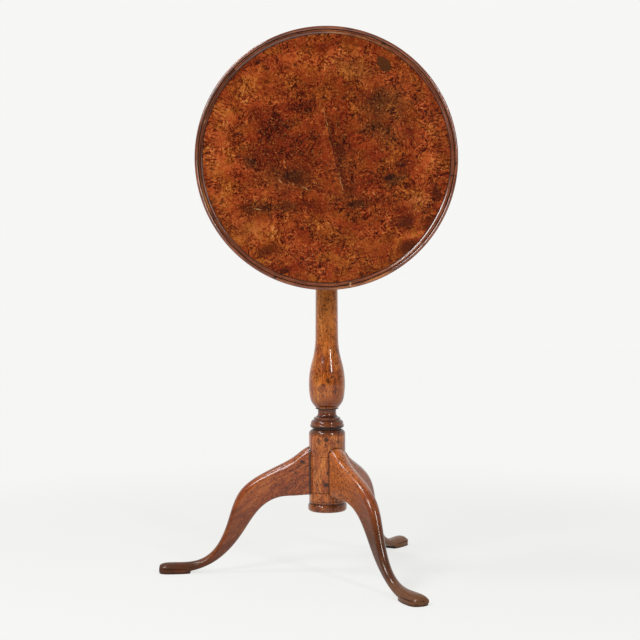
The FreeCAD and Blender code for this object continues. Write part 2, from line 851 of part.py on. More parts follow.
# Every object has to be sound before anything is written
faults = [thing.Name for thing in doc.Objects if "Invalid" in thing.State or "Error" in thing.State]
for piece in pieces:
    if piece.Shape.isNull() or not piece.Shape.isValid():
        faults.append(piece.Label)
if faults:
    raise RuntimeError("faulty objects: " + ", ".join(faults))

os.makedirs("parts", exist_ok=True)
for piece in pieces:
    piece.Shape.exportStep("parts/%s.step" % piece.Label)
    print(piece.Label, len(piece.Shape.Solids), round(piece.Shape.Volume))
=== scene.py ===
import math

import bmesh
import bpy
from mathutils import Matrix, Vector


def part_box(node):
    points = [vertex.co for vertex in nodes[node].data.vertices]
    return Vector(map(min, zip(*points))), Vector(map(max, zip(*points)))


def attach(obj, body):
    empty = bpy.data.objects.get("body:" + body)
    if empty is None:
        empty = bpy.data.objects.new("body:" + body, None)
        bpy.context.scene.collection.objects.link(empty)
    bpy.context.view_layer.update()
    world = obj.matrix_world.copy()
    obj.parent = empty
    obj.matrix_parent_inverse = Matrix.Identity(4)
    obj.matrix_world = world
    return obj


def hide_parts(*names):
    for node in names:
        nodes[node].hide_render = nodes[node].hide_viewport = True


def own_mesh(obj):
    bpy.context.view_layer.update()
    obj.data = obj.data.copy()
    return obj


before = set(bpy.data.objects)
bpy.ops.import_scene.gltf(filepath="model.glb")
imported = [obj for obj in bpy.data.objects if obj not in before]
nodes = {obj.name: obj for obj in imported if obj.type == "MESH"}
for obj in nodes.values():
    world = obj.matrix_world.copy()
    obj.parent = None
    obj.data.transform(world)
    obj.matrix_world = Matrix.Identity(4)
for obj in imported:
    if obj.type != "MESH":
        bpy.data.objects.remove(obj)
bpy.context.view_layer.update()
mm = 0.001
endless = 1000                                # half depth of a mark that has no end along its third axis
print("frame loaded:", len(nodes), "nodes")


def tone(code):  # "#rrggbb" as it looks on a screen, to the linear colour that a shader takes
    parts = [int(code[i:i + 2], 16) / 255 for i in (1, 3, 5)]
    return tuple(p / 12.92 if p <= 0.04045 else ((p + 0.055) / 1.055) ** 2.4 for p in parts) + (1.0,)


# writing shaders

class Wire:  # a socket; sums on it add Math nodes
    def __init__(self, finish, socket):
        self.finish = finish
        self.socket = socket

    def other(self, name):  # another output of the same node
        return Wire(self.finish, self.socket.node.outputs[name])

    def __add__(self, other):
        return self.finish.sums("ADD", self, other)

    def __sub__(self, other):
        return self.finish.sums("SUBTRACT", self, other)

    def __mul__(self, other):
        return self.finish.sums("MULTIPLY", self, other)

    def __truediv__(self, other):
        return self.finish.sums("DIVIDE", self, other)

    def __radd__(self, other):
        return self.finish.sums("ADD", other, self)

    def __rsub__(self, other):
        return self.finish.sums("SUBTRACT", other, self)

    def __rmul__(self, other):
        return self.finish.sums("MULTIPLY", other, self)

    def __rtruediv__(self, other):
        return self.finish.sums("DIVIDE", other, self)

    def __abs__(self):
        return self.finish.node("Math", {"operation": "ABSOLUTE"}, {0: self})

    def __or__(self, other):  # the stronger of two masks
        return self.finish.sums("MAXIMUM", self, other)


class Finish:  # a node tree and the ways to fill it
    def __init__(self, tree):
        self.tree = tree
        tree.nodes.clear()

    def node(self, kind, settings, sockets, output=0):
        made = self.tree.nodes.new("ShaderNode" + kind)
        for name, value in settings.items():
            if name == "stops":
                self.setStops(made.color_ramp, value)
            else:
                setattr(made, name, value)
        for name, value in sockets.items():
            if isinstance(value, Wire):
                self.tree.links.new(value.socket, made.inputs[name])
            else:
                made.inputs[name].default_value = value
        return Wire(self, made.outputs[output]) if made.outputs else None

    def setStops(self, ramp, stops):
        while len(ramp.elements) < len(stops):
            ramp.elements.new(1.0)
        for element, (position, colour) in zip(ramp.elements, stops):
            element.position = position
            element.color = tone(colour)

    def sums(self, operation, one, two):
        return self.node("Math", {"operation": operation}, {0: one, 1: two})

    def place(self):  # metres in the frame, at rest
        return self.node("TexCoord", {}, {}, "Object")

    def split(self, vector):
        x = self.node("SeparateXYZ", {}, {0: vector})
        return x, x.other(1), x.other(2)

    def join(self, x, y, z):
        return self.node("CombineXYZ", {}, {0: x, 1: y, 2: z})

    def turned(self, vector, turn=(0, 0, 0), scale=(1, 1, 1)):
        return self.node("Mapping", {"vector_type": "POINT"},
                         {"Vector": vector, "Rotation": turn, "Scale": scale})

    def laid(self, vector, centre, turn, reach=(1, 1, 1)):  # the vector as measured from a mark's own place
        return self.node("Mapping", {"vector_type": "TEXTURE"},
                         {"Vector": vector, "Location": centre, "Scale": reach,
                          "Rotation": (0, 0, math.radians(turn))})

    def vector(self, operation, one, two, three=(0, 0, 0)):
        return self.node("VectorMath", {"operation": operation}, {0: one, 1: two, 2: three})

    def scaled(self, vector, factor):
        return self.node("VectorMath", {"operation": "SCALE"}, {0: vector, "Scale": factor})

    def length(self, vector):
        return self.node("VectorMath", {"operation": "LENGTH"}, {0: vector}, "Value")

    def noise(self, vector, scale, detail=2.0, rough=0.5, twist=0.0, output=0):
        return self.node("TexNoise", {}, {"Vector": vector, "Scale": scale, "Detail": detail,
                                          "Roughness": rough, "Distortion": twist}, output)

    def cells(self, vector, scale):  # distance; the cell's own random colour is output 1
        return self.node("TexVoronoi", {}, {"Vector": vector, "Scale": scale})

    def dots(self, vector, scale, least, soft, start, end):  # a dot in each cell whose random value is high
        cell = self.cells(vector, scale)
        pick, _, _ = self.split(cell.other(1))
        return self.fade(cell, start, end) * self.fade(pick, least, least + soft)

    def sway(self, vector, scale, reach):  # the vector, pushed about by soft noise
        push = self.noise(vector, scale, 2.0, output=1)
        push = self.vector("SUBTRACT", push, (0.5, 0.5, 0.5))
        return self.vector("MULTIPLY_ADD", push, (reach, reach, reach), vector)

    def fade(self, value, start, end):  # 0 at start to 1 at end, either way round
        return self.node("MapRange", {"interpolation_type": "SMOOTHSTEP"}, {0: value, 1: start, 2: end})

    def spot(self, vector, centre, reach, turn=0.0, soft=0.5):  # a soft oval, 1 inside
        return self.fade(self.length(self.laid(vector, centre, turn, reach)), 1.0, 1.0 - soft)

    def spots(self, vector, rows, soft=0.5):  # rows of x, y, half length, half width, turn, strength
        return self.strongest([self.spot(vector, (x, y, 0), (long, wide, endless), turn, soft) * strength
                               for x, y, long, wide, turn, strength in rows])

    def strongest(self, masks):
        most = masks[0]
        for mask in masks[1:]:
            most = most | mask
        return most

    def blend(self, one, two, share):
        return self.node("Mix", {"data_type": "RGBA"}, {0: share, 6: one, 7: two}, 2)

    def ramp(self, value, *stops):
        return self.node("ValToRGB", {"stops": stops}, {0: value})

    def cavity(self, distance):  # 1 in a corner or groove, 0 in the open, where shade falls
        opened = self.node("AmbientOcclusion", {"samples": 8}, {"Distance": distance}, 1)
        return self.fade(opened, 0.85, 0.4)

    def surface(self, colour, rough, height, deep, polish):  # polish: values or wires for other sockets
        bump = self.node("Bump", {}, {"Strength": 1.0, "Distance": deep, "Height": height})
        sockets = {"Base Color": colour, "Roughness": rough, "Normal": bump}
        shader = self.node("BsdfPrincipled", {}, {**sockets, **polish})
        self.node("OutputMaterial", {}, {"Surface": shader})


def newFinish(name):
    material = bpy.data.materials.new(name)
    material.use_nodes = True
    return Finish(material.node_tree), material


def dress(material, *names):
    for name in names:
        nodes[name].data.materials.clear()
        nodes[name].data.materials.append(material)


def meshFrom(shape, name):
    mesh = bpy.data.meshes.new(name)
    shape.to_mesh(mesh)
    shape.free()
    return mesh


def addObject(name, data):
    thing = bpy.data.objects.new(name, data)
    bpy.context.scene.collection.objects.link(thing)
    return thing


# burr veneer of the dish; places in millimetres from its middle, as the face is seen

burr = {
    "tones": (  # from dark to light, and so are the others
        (0.0, "#2c0c05"), (0.22, "#511a08"), (0.40, "#71290d"), (0.56, "#893b16"), (0.74, "#a65423"),
        (0.95, "#c38043")),
    "oliveTones": (
        (0.0, "#24120a"), (0.30, "#482611"), (0.55, "#6c3b18"), (0.80, "#915a28"), (1.0, "#ab763c")),
    "redTones": (
        (0.0, "#270a05"), (0.30, "#55190a"), (0.55, "#7a2813"), (0.80, "#933e21"), (1.0, "#a85a36")),
    "brickTones": (
        (0.0, "#2e0b06"), (0.22, "#561808"), (0.40, "#7a2710"), (0.56, "#95371b"), (0.74, "#b14c2a"),
        (0.95, "#c9754a")),
    "goldTones": (
        (0.0, "#2a1205"), (0.22, "#4c2208"), (0.40, "#6b340d"), (0.56, "#854812"), (0.74, "#a3641f"),
        (0.95, "#c08b3e")),
    "pip": "#3b1207", "fleck": "#c58743", "pit": "#22100a", "knot": "#432611", "crack": "#b98b58",
    "stain": "#42190b",
    "lights": (  # x, y, half length, half width, turn, strength: smooth golden areas
        (-138, 118, 46, 28, -30, 0.55), (-182, 76, 30, 44, 0, 1.0), (-192, 10, 34, 70, 0, 0.95),
        (-185, -70, 32, 44, 20, 0.75), (-114, -125, 52, 28, -12, 1.0), (180, 45, 22, 34, 0, 0.6),
        (186, -8, 22, 28, 0, 0.8), (166, -72, 24, 26, 0, 0.9), (46, 186, 60, 20, -8, 0.5),
        (-30, 172, 80, 26, -4, 0.7), (50, 152, 40, 18, -10, 0.6), (-130, 146, 36, 18, 42, 0.9),
        (-124, -57, 38, 18, 0, 0.6), (-6, -116, 40, 16, 0, 0.4), (92, -124, 44, 18, 0, 0.4),
        (160, -134, 40, 10, 16, 1.1), (0, -186, 110, 24, 0, 0.4), (-142, -143, 32, 16, -42, 0.7),
        (-54, -156, 36, 18, 0, 0.6), (-84, -112, 26, 12, 0, 0.7), (-156, -104, 22, 16, 0, 0.6),
        (58, 88, 24, 16, -20, 0.6), (8, 4, 24, 22, 0, 0.6), (168, 96, 16, 22, 0, 0.5)),
    "darks": (  # deep red figure
        (-92, 54, 50, 40, 0, 1.0), (-58, 22, 46, 34, -10, 0.75), (-120, 80, 30, 24, 0, 0.7),
        (-46, 92, 44, 20, -8, 0.65), (74, -32, 30, 34, 0, 0.55), (84, 8, 34, 22, 0, 0.7),
        (28, 70, 20, 32, -20, 0.6), (10, -84, 110, 16, 0, 0.6), (-114, 6, 40, 40, 0, 0.9),
        (-16, 0, 120, 90, 0, 0.42), (36, -44, 24, 34, 0, 0.65), (-52, -18, 46, 16, 0, 0.65),
        (-60, -60, 60, 16, 0, 0.45),
        (148, 50, 22, 20, 0, 0.8), (140, -16, 20, 26, 0, 0.6), (134, -95, 22, 14, 0, 0.7),
        (72, 116, 26, 16, 0, 0.6), (6, 196, 24, 12, 0, 0.6), (-66, -194, 36, 14, 20, 0.8),
        (-74, 116, 24, 12, 0, 0.5), (46, -122, 34, 16, 0, 0.5), (88, -74, 36, 18, 0, 0.5),
        (138, 84, 16, 24, 0, 0.5)),
    "olives": (  # greener areas
        (104, 96, 66, 52, 20, 1.0), (110, 40, 40, 34, 0, 0.8), (54, 158, 70, 28, -12, 0.7),
        (-70, -34, 80, 34, -8, 0.8), (40, -70, 60, 20, 0, 0.5), (-110, -86, 60, 22, 0, 0.7),
        (30, -20, 30, 60, 0, 0.5), (160, -80, 30, 30, 0, 0.5), (-140, -120, 40, 30, 0, 0.5)),
    "browns": (  # greener and darker
        (90, 104, 42, 30, 20, 0.8), (86, 52, 40, 26, 0, 0.7), (-60, -32, 32, 18, -12, 0.9),
        (-136, -4, 20, 18, 0, 0.8), (-128, -88, 36, 10, 0, 0.7), (-70, -88, 30, 12, 0, 0.7),
        (57, -80, 30, 15, 0, 0.8), (120, -38, 28, 16, 24, 0.9), (186, 78, 16, 22, 0, 0.3),
        (26, 20, 12, 50, -8, 0.35)),
    "stains": (  # almost black smears
        (140, -110, 30, 14, 20, 1.0), (146, -158, 30, 16, 26, 1.0), (194, -60, 13, 20, 0, 0.9),
        (184, -118, 17, 14, 30, 0.9), (60, 198, 40, 5, -18, 0.4), (-104, -164, 32, 14, 10, 0.8),
        (-74, -198, 22, 8, 24, 0.7), (-58, -40, 26, 6, -14, 0.5), (-146, -83, 13, 6, 0, 0.7),
        (-116, -92, 12, 3, -4, 1.0), (-76, 58, 14, 9, 0, 0.4), (26, 0, 5, 30, 4, 0.25),
        (57, -80, 20, 7, 0, 0.45)),
    "pits": (  # small holes
        (112, -33, 17, 8, 24, 1), (135, -13, 8, 6, 0, 0.8), (-158, 43, 5, 3, 0, 1), (-69, 56, 6, 3, 0, 0.8),
        (-5, 108, 4, 4, 0, 1), (32, 106, 6, 3, 20, 0.9), (58, 68, 5, 4, 0, 0.8), (-55, 165, 6, 4, 0, 0.8),
        (-119, 171, 6, 5, 0, 0.9), (-24, 40, 4, 3, 0, 0.8), (-72, -32, 11, 4, -20, 0.7),
        (82, 50, 4, 3, 0, 0.7), (176, 82, 5, 4, 0, 0.9), (-104, 158, 6, 4, 20, 0.9)),
    "knots": ((102, 166, 18, 11, -52, 1),),
    "cracks": (  # x, y of both ends, width
        (-88, -34, -76, -46, 1.1), (-46, -49, -27, -57, 1.2), (-130, -87, -112, -91, 1.5),
        (-8, 95, 8, 40, 0.7), (20, -20, 32, -66, 0.8), (-74, 0, -75, -12, 0.7), (-44, -186, -19, -166, 0.9)),
    "seams": ((-8, 96, 32, -70, 1.0), (-90, -38, 32, -70, 0.9), (-44, -186, -76, -160, 1.2)),
    "sides": ((-8, 96, 32, -70, 1.0), (-90, -38, 32, -70, 0.6)),     # seams with a change of tone, strength
    "paleSide": 34, "darkSide": 15,           # how far the change reaches
    "drift": (1 / 46, 34), "curl": (1 / 9, 11), "fine": (1 / 5, 5), "pieced": (1 / 12, 6),
    "ragged": ((1 / 30, 28), (1 / 7, 16), (1 / 3, 6)),               # what sway takes, as in the line above
    "middle": 0.514,
    "weights": {"broad": 0.34, "smear": 0.18, "zone": 0.09, "patch": 0.10, "lights": 0.21, "darks": 0.19,
                "browns": 0.20, "stains": 0.11, "paleSide": 0.09, "darkSide": 0.13},
    "specks": (1 / 2.4, 0.66, 0.14, 0.5, 0.2),                       # what dots takes
    "smallPips": (1 / 4.6, 0.52, 0.1, 0.46, 0.22), "largePips": (1 / 10.5, 0.62, 0.1, 0.28, 0.14),
    "strokes": (186, 204), "rimShade": (218.4, 219.6),                # distance from the middle: none, full
    "relief": 0.00012, "polish": {"Specular IOR Level": 0.18},
}


def lineFrame(x, y, x2, y2):  # middle, half length and turn of a line
    turn = math.degrees(math.atan2(y2 - y, x2 - x))
    return ((x + x2) / 2, (y + y2) / 2, 0), math.hypot(x2 - x, y2 - y) / 2, turn


def lineMask(f, point, rows):  # thin lines between two points
    masks = []
    for *ends, width in rows:
        middle, half, turn = lineFrame(*ends)
        masks.append(f.spot(point, middle, (half * 1.15, width, endless), turn, 0.8))
    return f.strongest(masks)


def seamSides(f, point, row):  # paler on the right of the way from end to end, darker on the left
    *ends, strength = row
    middle, half, turn = lineFrame(*ends)
    along, off, _ = f.split(f.laid(point, middle, turn))
    within = f.fade(abs(along), half, half * 0.75) * strength
    pale = f.fade(off, 0.6, -0.6) * f.fade(off, -burr["paleSide"], -burr["paleSide"] * 0.3)
    dark = f.fade(off, -0.6, 0.6) * f.fade(off, burr["darkSide"], burr["darkSide"] * 0.3)
    return pale * within, dark * within


def discPoint(f):  # millimetres across and up from the middle of the dish
    low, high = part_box("top_veneer")
    middle = (low + high) / 2
    x, y, z = f.split(f.place())
    across = (x - middle.x) * (1 / mm)
    up = (z - middle.z) * (1 / mm)
    return f.join(across, up, 0.0), across, up, y


def burrVeneer():
    s = burr
    f, material = newFinish("burr_veneer")
    disc, across, up, _ = discPoint(f)
    drift = f.sway(disc, *s["drift"])         # slow wander of the figure
    curl = f.sway(drift, *s["curl"])          # small curls
    fine = f.sway(disc, *s["fine"])
    edge = disc
    for sway in s["ragged"]:                  # ragged edges for the placed areas
        edge = f.sway(edge, *sway)
    lights = f.spots(edge, s["lights"], 0.65)
    darks = f.spots(edge, s["darks"], 0.7)
    olives = f.spots(edge, s["olives"], 0.8)
    browns = f.spots(edge, s["browns"], 0.75)
    stains = f.spots(f.sway(edge, 1 / 5, 14), s["stains"], 0.75)
    broad = f.noise(drift, 1 / 60, 3, 0.6)
    busy = f.fade(f.noise(drift, 1 / 34, 2), 0.36, 0.60)             # where the figure is crowded
    mottle = f.noise(curl, 1 / 7, 5, 0.72, 1.4)
    smear = f.noise(curl, 1 / 22, 3, 0.6, 0.8)
    zone = f.cells(edge, 1 / 30)              # torn patches, each of its own shade
    hue, lift, _ = f.split(zone.other(1))
    patch = f.cells(f.sway(edge, 1 / 4, 8), 1 / 15)
    patchHue, patchLift, _ = f.split(patch.other(1))
    hue = hue * 0.6 + patchHue * 0.4
    w = s["weights"]
    value = s["middle"] + (broad - 0.5) * w["broad"] + (smear - 0.5) * w["smear"] + lights * w["lights"]
    value = value + (lift - 0.5) * w["zone"] + (patchLift - 0.5) * w["patch"]
    value = value - darks * w["darks"] - browns * w["browns"] - stains * w["stains"]
    pieced = f.sway(disc, *s["pieced"])
    for row in s["sides"]:
        pale, dark = seamSides(f, pieced, row)
        value = value + pale * w["paleSide"] - dark * w["darkSide"]
    value = value + (mottle - 0.5) * (0.45 + 1.2 * busy) * (1 - 0.7 * stains) * (1 - 0.35 * darks)
    worm = f.node("TexVoronoi", {"feature": "DISTANCE_TO_EDGE"},
                  {"Vector": f.sway(curl, 1 / 4, 4), "Scale": 1 / 7})
    worms = f.fade(worm, 0.14, 0.03) * f.fade(mottle, 0.62, 0.48)    # dark lines round light islands
    value = value - worms * (0.15 + 0.30 * busy)
    colour = f.ramp(value, *s["tones"])
    colour = f.blend(colour, f.ramp(value, *s["brickTones"]), f.fade(hue, 0.50, 0.76) * 0.36)
    colour = f.blend(colour, f.ramp(value, *s["goldTones"]), f.fade(hue, 0.50, 0.24) * 0.36)
    colour = f.blend(colour, f.ramp(value, *s["redTones"]), darks * 0.8)
    colour = f.blend(colour, f.ramp(value, *s["oliveTones"]), (olives * 0.7) | (browns * 0.8))
    colour = f.blend(colour, tone(s["stain"]), stains * 0.8)
    clean = 1 - 0.75 * stains
    specks = f.dots(curl, *s["specks"]) * clean
    colour = f.blend(colour, tone(s["fleck"]), specks * (0.24 + 0.50 * f.fade(mottle, 0.46, 0.64)))
    pips = f.dots(fine, *s["smallPips"]) | f.dots(curl, *s["largePips"])
    pips = pips * (0.16 + 0.84 * busy) * (1 - 0.25 * darks) * clean
    eye = f.cells(fine, 1 / 11)               # small rings
    chosen, _, _ = f.split(eye.other(1))
    eyes = f.fade(abs(eye - 0.20), 0.075, 0.03) * f.fade(chosen, 0.84, 0.88)
    marks = pips | (eyes * 0.8)
    colour = f.blend(colour, tone(s["pip"]), marks * 0.82)
    reach = f.length(disc)
    angle = f.sums("ARCTAN2", up, across)
    stroke = f.noise(f.join(angle * 62, reach / 16, 0.0), 1.0, 2, 0.6)
    sides = f.fade(abs(across) / reach, 0.74, 0.90) * f.fade(reach, *s["strokes"])
    colour = f.blend(colour, tone(s["pip"]), f.fade(stroke, 0.53, 0.62) * sides * 0.85)
    colour = f.blend(colour, tone(s["knot"]), f.spots(f.sway(disc, 1 / 8, 5), s["knots"], 0.2) * 0.9)
    pits = f.spots(f.sway(disc, 1 / 4, 7), s["pits"], 0.6)
    colour = f.blend(colour, tone(s["pit"]), pits * 0.9)
    seams = lineMask(f, pieced, s["seams"])
    colour = f.blend(colour, tone(s["pit"]), seams * 0.75)
    cracks = lineMask(f, f.sway(disc, 1 / 7, 5), s["cracks"])
    broken = f.fade(f.noise(disc, 1 / 3, 2), 0.4, 0.5)
    colour = f.blend(colour, tone(s["crack"]), cracks * broken * 0.75)
    # painted shade on the veneer at the foot of the rim
    colour = f.blend(colour, tone(s["pit"]), f.fade(reach, *s["rimShade"]) * 0.5)
    rough = 0.20 + 0.08 * mottle
    height = 0.3 * mottle - 0.4 * pips - 1.2 * pits - 0.8 * seams + 0.4 * f.noise(disc, 1 / 30, 2)
    f.surface(colour, rough, height, s["relief"], s["polish"])
    return material


# moulded rim: grain runs round the top, each length cut from its own piece

rim = {
    "base": "#76402a", "dark": "#3f1d0e", "light": "#985835", "dirtAndShade": "#150906", "raw": "#c09068",
    "rubbedAndLit": "#b8743f",
    "lengths": 5, "firstJoint": -8.0,
    "perDegree": 4.0, "apart": 613.0,          # millimetres of grain round the edge, and between two lengths
    "streak": (26, 2.2, 450), "band": (90, 9, 3.7), "pips": (5, 2.4, 400),    # along, across; depth's factor
    "dots": (1.0, 0.55, 0.15, 0.42, 0.15),
    "nicks": ((-92, -210, 5, 3, 20, 1), (228, -10, 4, 2.5, 60, 1), (102, 200, 5, 2, -25, 0.9),
              (-200, -100, 4, 2, 120, 0.8), (-60, 212, 9, 2.5, 15, 0.7), (150, 160, 7, 2.5, -45, 0.7)),
    "worn": ((-190, 0, 110, 210, 0, 1), (130, 190, 170, 110, -45, 1)),    # polish gone from the inner edge
    "chips": ((41, -223, 5, 2.6, 80, 0.9), (190, 108, 6, 1.6, -60, 0.6), (-214, 66, 5, 1.6, 75, 0.5)),
    "pale": (  # rubbed lengths, and painted highlights
        (22, 219, 28, 5, -6, 0.7), (62, 210, 26, 5, -17, 0.9), (98, 197, 24, 5, -28, 0.6),
        (-213, -76, 36, 3.5, 110, 0.7), (30, -229, 40, 4, 8, 0.45), (88, -212, 44, 4, 23, 0.6)),
    "quirk": (222.6, 220.4), "inner": (225.5, 223.5), "outer": (230.8, 232.4),    # distance: none, full; the quirk's is painted shade
    "relief": 0.00010, "coat": 0.80, "innerLoss": 0.70, "outerLoss": 0.45,
    "polish": {"Specular IOR Level": 0.1, "Coat Roughness": 0.12, "Coat IOR": 1.75},
}


def rimWood():
    s = rim
    f, material = newFinish("rim_wood")
    disc, _, _, back = discPoint(f)
    share = 360 / s["lengths"]
    spun = f.turned(disc, turn=(0, 0, math.radians(180 - s["firstJoint"])))   # angles start at a joint
    spunAcross, spunUp, _ = f.split(spun)
    angle = f.sums("ARCTAN2", spunUp, spunAcross) * (180 / math.pi) + 180
    reach = f.length(disc)
    count = angle / share
    piece = f.node("Math", {"operation": "FLOOR"}, {0: count})
    along = angle * s["perDegree"] + piece * s["apart"]

    def grain(name, third):
        long, wide, factor = s[name]
        return f.join(along / long, reach / wide, third * factor)

    streak = f.noise(f.sway(grain("streak", back), 0.6, 0.8), 1.0, 4, 0.6)
    band = f.noise(grain("band", piece), 1.0, 2)
    colour = f.ramp(streak, (0.30, s["dark"]), (0.50, s["base"]), (0.74, s["light"]))
    colour = f.blend(colour, tone(s["dark"]), f.fade(band, 0.52, 0.70) * 0.55)
    pips = f.dots(grain("pips", back), *s["dots"])
    colour = f.blend(colour, tone(s["dirtAndShade"]), pips * 0.6)
    joint = f.node("Math", {"operation": "FRACT"}, {0: count})
    joint = f.fade(abs(joint - 0.5), 0.4965, 0.4985)
    ragged = f.sway(disc, 1 / 5, 4)
    # paler lengths: rubbed wear and painted highlights
    colour = f.blend(colour, tone(s["rubbedAndLit"]), f.spots(ragged, s["pale"], 0.7) * (0.5 + streak))
    # painted shade in corners and at the foot of the moulding, with the dark joints
    dirtAndShade = f.cavity(0.004)
    quirk = f.fade(reach, *s["quirk"])         # painted shade at the foot of the moulding
    colour = f.blend(colour, tone(s["dirtAndShade"]), (dirtAndShade * 0.9) | (joint * 0.8) | (quirk * 0.6))
    nicks = f.spots(ragged, s["nicks"], 0.6)
    chips = f.spots(ragged, s["chips"], 0.5)
    colour = f.blend(colour, tone(s["dirtAndShade"]), nicks * 0.85)
    colour = f.blend(colour, tone(s["raw"]), chips * 0.8)
    rough = 0.20 + 0.10 * streak + 0.2 * (nicks | chips)
    height = 0.5 * streak - 1.5 * nicks - 1.5 * chips - joint
    inner = f.fade(reach, *s["inner"]) * f.spots(disc, s["worn"])
    outer = f.fade(reach, *s["outer"])         # rubbed by hands, so less polish
    coat = s["coat"] - inner * s["innerLoss"] - outer * s["outerLoss"]
    f.surface(colour, rough, height, s["relief"], {**s["polish"], "Coat Weight": coat})
    return material


# turned column: upright grain with pips and a few knots; places in millimetres

column = {
    "base": "#a7551f", "dark": "#763417", "light": "#ca7c38", "pip": "#2b1107", "dirtAndShade": "#120805",
    "bandTone": "#482317",
    "shaft": (400, 470, 0.42),                 # painted light on the upper part, which the top shades: from, full from, how much
    "grooves": (  # painted shade in the grooves: height, half width, strength
        (309.2, 1.8, 0.7), (304, 1.8, 0.95), (289.6, 2.0, 0.75), (282.4, 1.8, 0.6), (270.5, 2.2, 0.95),
        (262.8, 2.0, 0.6), (134, 1.6, 0.5), (130, 1.8, 0.7)),
    "knots": (  # x, height, half width, half height, strength
        (-2, 250, 6, 6, 0.9), (-2, 167, 8, 5, 0.9), (2, 357, 5, 7, 0.8), (-7, 349, 6, 4, 0.7),
        (25, 364, 5, 4, 0.6), (20, 388, 6, 4, 0.4), (-9, 470, 3, 4, 0.5), (-16, 246, 4, 9, 0.6),
        (20, 246, 4, 8, 0.5)),
    "redPatches": ((-10, 342, 9, 9, 0.7), (10, 240, 8, 14, 0.6), (-2, 316, 22, 8, 0.5), (20, 372, 6, 8, 0.6)),
    "front": (-30, 34),                        # middle and half depth of these marks
    "darkBands": (  # darker by height: none, full, full, none; strength
        (112, 116, 128, 133, 0.55), (255, 259, 300, 306, 0.75), (306, 308, 314, 345, 0.35)),
    "streak": (0.20, 0.20, 0.016), "broad": (0.045, 0.045, 0.03), "fleck": (0.42, 0.42, 0.2),
    "dash": (0.55, 0.55, 0.15), "small": (0.44, 0.44, 0.28), "large": (0.17, 0.17, 0.10),
    "gouge": (0.02, 0.02, 0.5),                # how close the figure is along x, y and z
    "smallDots": (1.0, 0.20, 0.12, 0.42, 0.28), "largeDots": (1.0, 0.58, 0.12, 0.32, 0.22),
    "relief": 0.00018,
    "polish": {"Specular IOR Level": 0.1, "Coat Weight": 0.70, "Coat Roughness": 0.07, "Coat IOR": 1.46},
}


def frontMarks(f, point, rows, soft):  # marks on the side that faces the front
    middle, deep = column["front"]
    return f.strongest([f.spot(point, (x, middle, up), (wide, deep, high), 0.0, soft) * strength
                        for x, up, wide, high, strength in rows])


def columnWood():
    s = column
    f, material = newFinish("column_wood")
    point = f.scaled(f.place(), 1 / mm)
    _, _, up = f.split(point)
    bent = f.sway(point, 1 / 60, 16)
    streak = f.noise(f.turned(bent, scale=s["streak"]), 1.0, 4, 0.6)
    broad = f.noise(f.turned(bent, scale=s["broad"]), 1.0, 2)
    value = 0.5 + 0.9 * (streak - 0.5) + 0.6 * (broad - 0.5)
    colour = f.ramp(value, (0.30, s["dark"]), (0.50, s["base"]), (0.70, s["light"]))
    fleck = f.noise(f.turned(point, scale=s["fleck"]), 1.0, 3, 0.7)
    colour = f.blend(colour, tone(s["light"]), f.fade(fleck, 0.54, 0.72) * 0.55)
    colour = f.blend(colour, tone(s["dark"]), f.fade(fleck, 0.46, 0.28) * 0.6)
    cluster = f.fade(f.noise(point, 1 / 24, 2), 0.34, 0.56)
    shaken = f.sway(point, 1 / 6, 5)
    small = f.dots(f.turned(shaken, scale=s["small"]), *s["smallDots"])
    large = f.dots(f.turned(shaken, scale=s["large"]), *s["largeDots"])
    pips = (small | large) * (0.3 + 0.7 * cluster)
    dash = f.noise(f.turned(f.sway(point, 1 / 9, 5), scale=s["dash"]), 1.0, 2, 0.6)
    dashes = f.fade(dash, 0.44, 0.37) * (0.35 + 0.65 * cluster)
    # painted light on the upper shaft
    start, full, paintedLight = s["shaft"]
    colour = f.blend(colour, tone(s["light"]), f.fade(up, start, full) * paintedLight)
    colour = f.blend(colour, tone(s["pip"]), (pips * 0.95) | (dashes * 0.7))
    ragged = f.sway(point, 1 / 6, 6)
    colour = f.blend(colour, tone(s["dark"]), frontMarks(f, ragged, s["redPatches"], 0.5))
    knots = frontMarks(f, ragged, s["knots"], 0.6)
    colour = f.blend(colour, tone(s["pip"]), knots)
    for foot, low, high, end, strength in s["darkBands"]:
        band = f.fade(up, foot, low) * f.fade(up, end, high)
        colour = f.blend(colour, tone(s["bandTone"]), band * (strength * (0.6 + 0.6 * streak)))
    # painted shade in corners and grooves
    dirtAndShade = f.cavity(0.009)
    for level, half, strength in s["grooves"]:
        dirtAndShade = dirtAndShade | (f.fade(abs(up - level), half, 0.4 * half) * strength)
    colour = f.blend(colour, tone(s["dirtAndShade"]), dirtAndShade * 0.95)
    rough = 0.22 + 0.12 * streak + 0.2 * dirtAndShade
    rings = f.noise(f.turned(point, scale=s["gouge"]), 1.0, 1)      # faint marks left by the gouge
    height = 0.35 * streak - 0.5 * pips - knots + 0.5 * rings
    f.surface(colour, rough, height, s["relief"], s["polish"])
    return material


# cabriole legs: long grain that slopes down the leg

